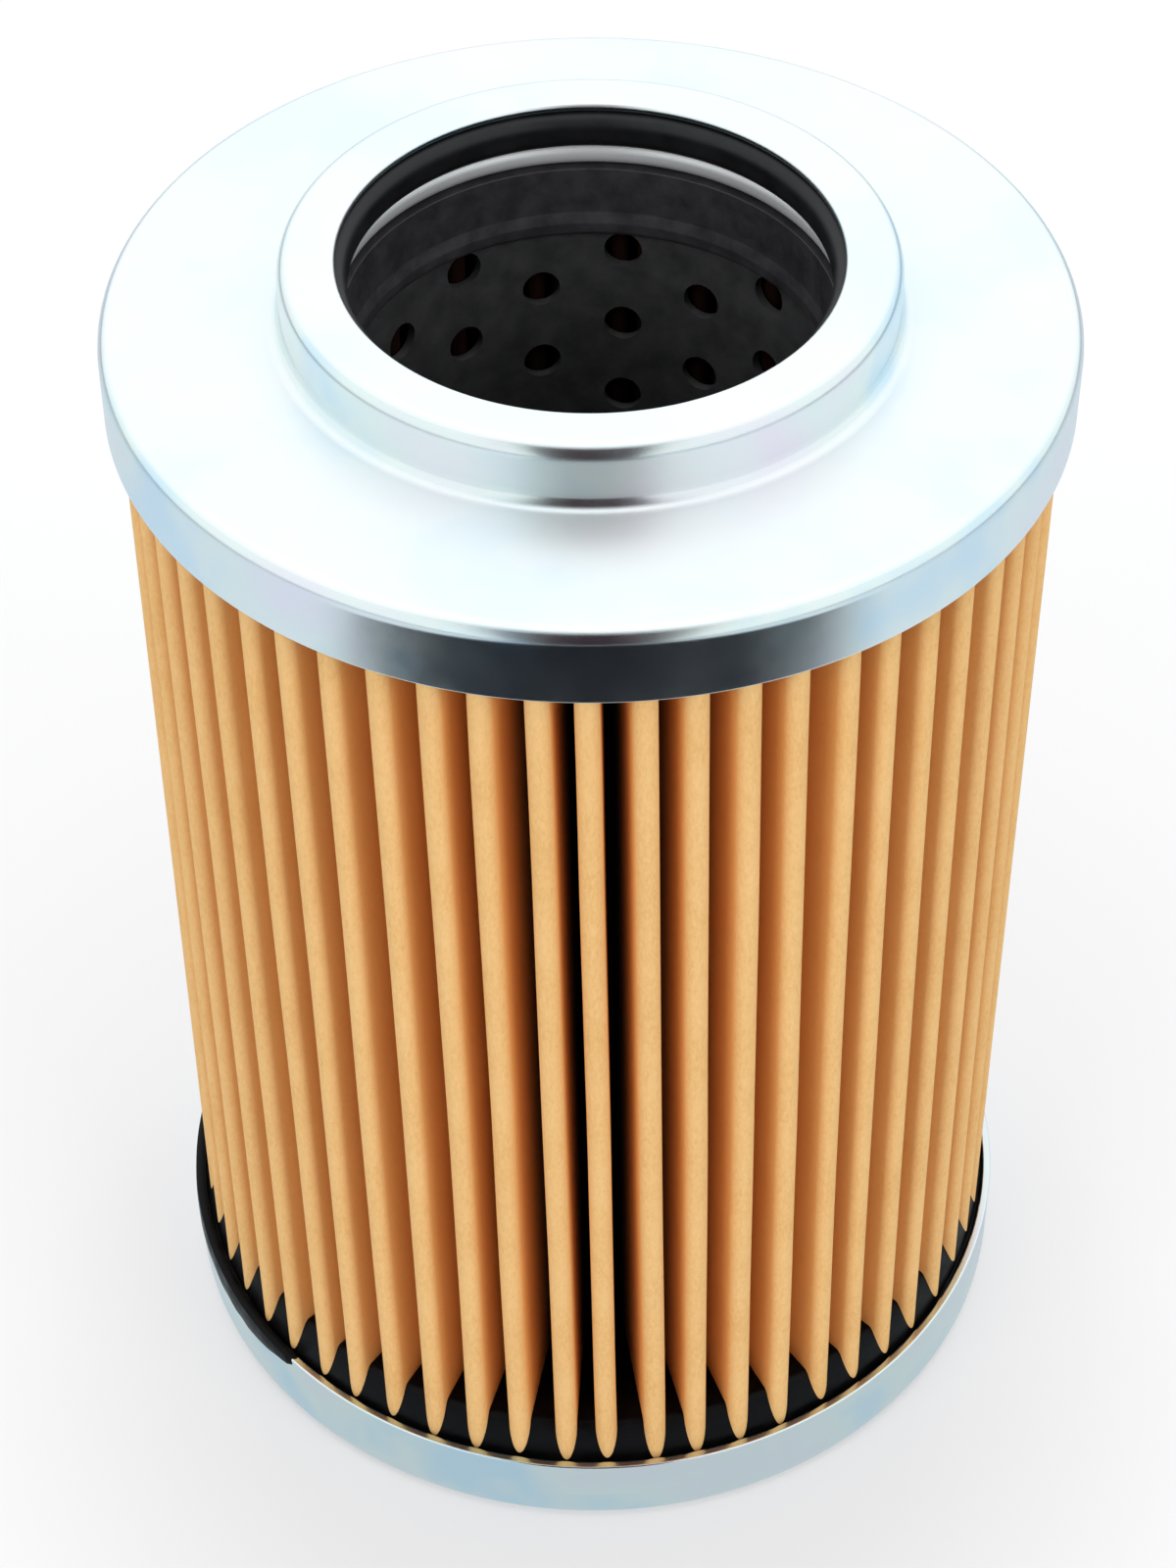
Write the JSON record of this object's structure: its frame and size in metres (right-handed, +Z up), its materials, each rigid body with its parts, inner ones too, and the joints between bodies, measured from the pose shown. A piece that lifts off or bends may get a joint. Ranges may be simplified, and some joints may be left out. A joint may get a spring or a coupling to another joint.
{
  "type": "pleated filter element",
  "caption": "Cylindrical pleated paper filter element with zinc-plated end caps, a raised sealing collar at the open end and a closed bottom.",
  "frame": {"origin": "middle of the bottom cap's outer face", "axes": "+Z up along the element's axis, towards the open end"},
  "size_m": [0.08, 0.08, 0.1181],
  "materials": {
    "zinc_plate": "zinc plated, satin bright",
    "retainer_plate": "zinc plated, bright",
    "seal_rubber": "moulded, semi-matt",
    "potting": "cured adhesive, slight sheen",
    "media_paper": "resin-treated filter paper, matt",
    "core_coat": "black, satin"
  },
  "bodies": {
    "root": {"top_cap": "zinc_plate", "bottom_cap": "zinc_plate", "seal_retainer": "retainer_plate", "seal_ring": "seal_rubber", "top_potting": "potting", "bottom_potting": "potting", "filter_media": "media_paper", "core_tube": "core_coat"}
  },
  "joints": []
}
